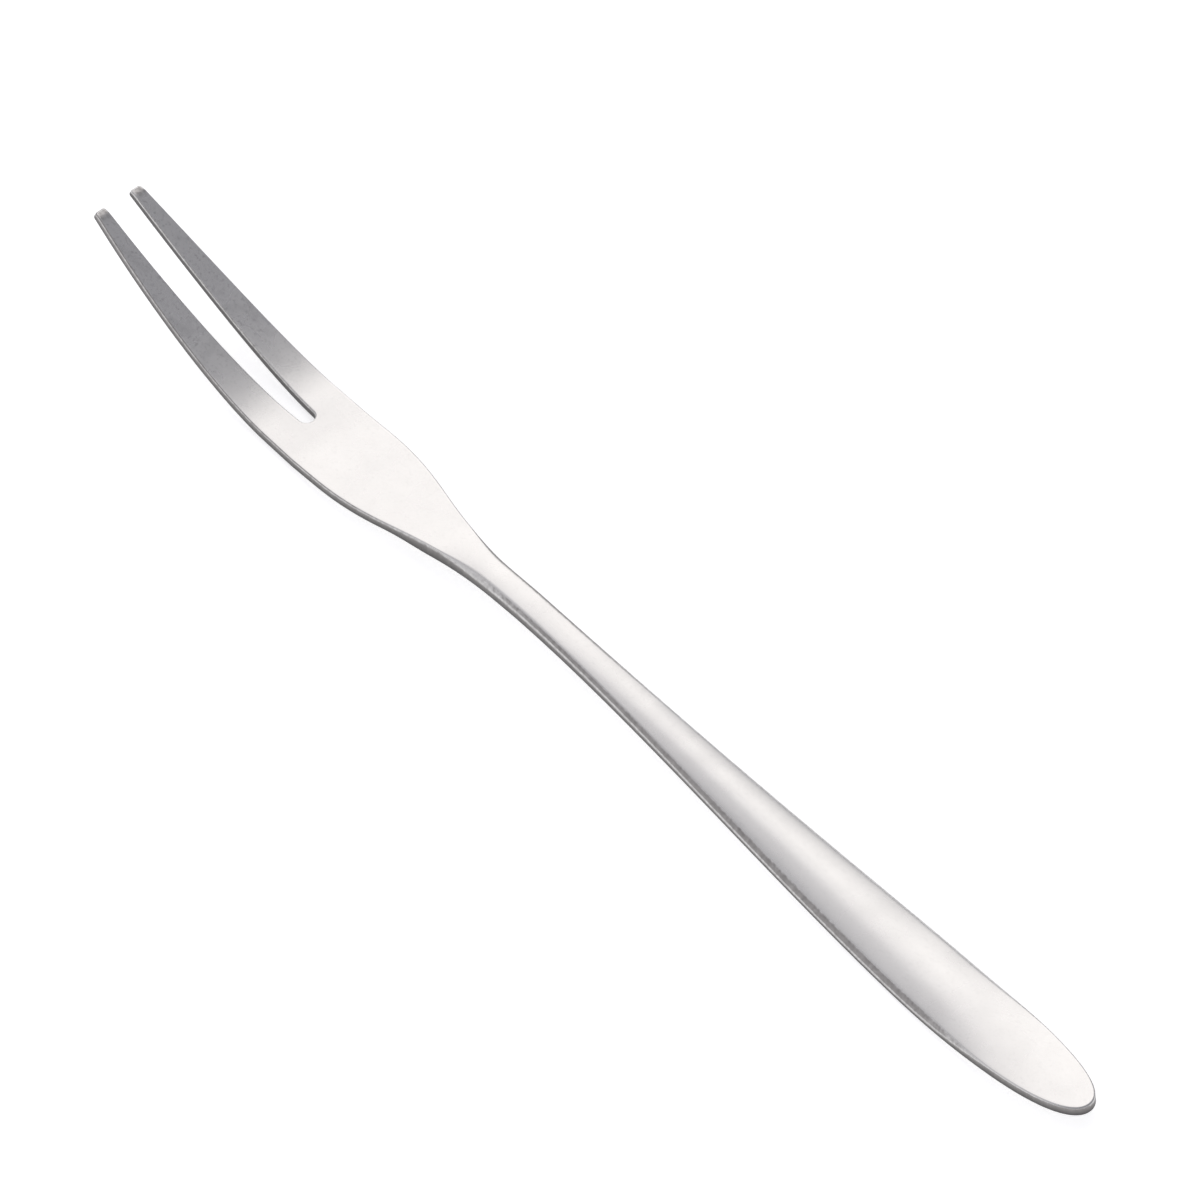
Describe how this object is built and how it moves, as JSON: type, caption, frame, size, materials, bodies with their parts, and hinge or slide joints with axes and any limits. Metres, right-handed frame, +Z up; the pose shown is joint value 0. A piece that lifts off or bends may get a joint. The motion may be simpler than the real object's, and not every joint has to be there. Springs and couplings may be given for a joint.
{
  "type": "serving fork",
  "caption": "Slim stainless-steel serving fork pressed from sheet, with upturned tines, a flat head, a narrow neck and a crowned handle that ends in a flat, rounded tail.",
  "frame": {"origin": "on the table, under the middle of the fork's length and width, with the fork lying on its back", "axes": "+X from the tine tips to the handle's tail, +Y across the fork, +Z up, the way the tines turn"},
  "size_m": [0.1404, 0.0092, 0.008],
  "materials": {
    "steel": "satin"
  },
  "bodies": {
    "root": {"fork": "steel"}
  },
  "joints": []
}
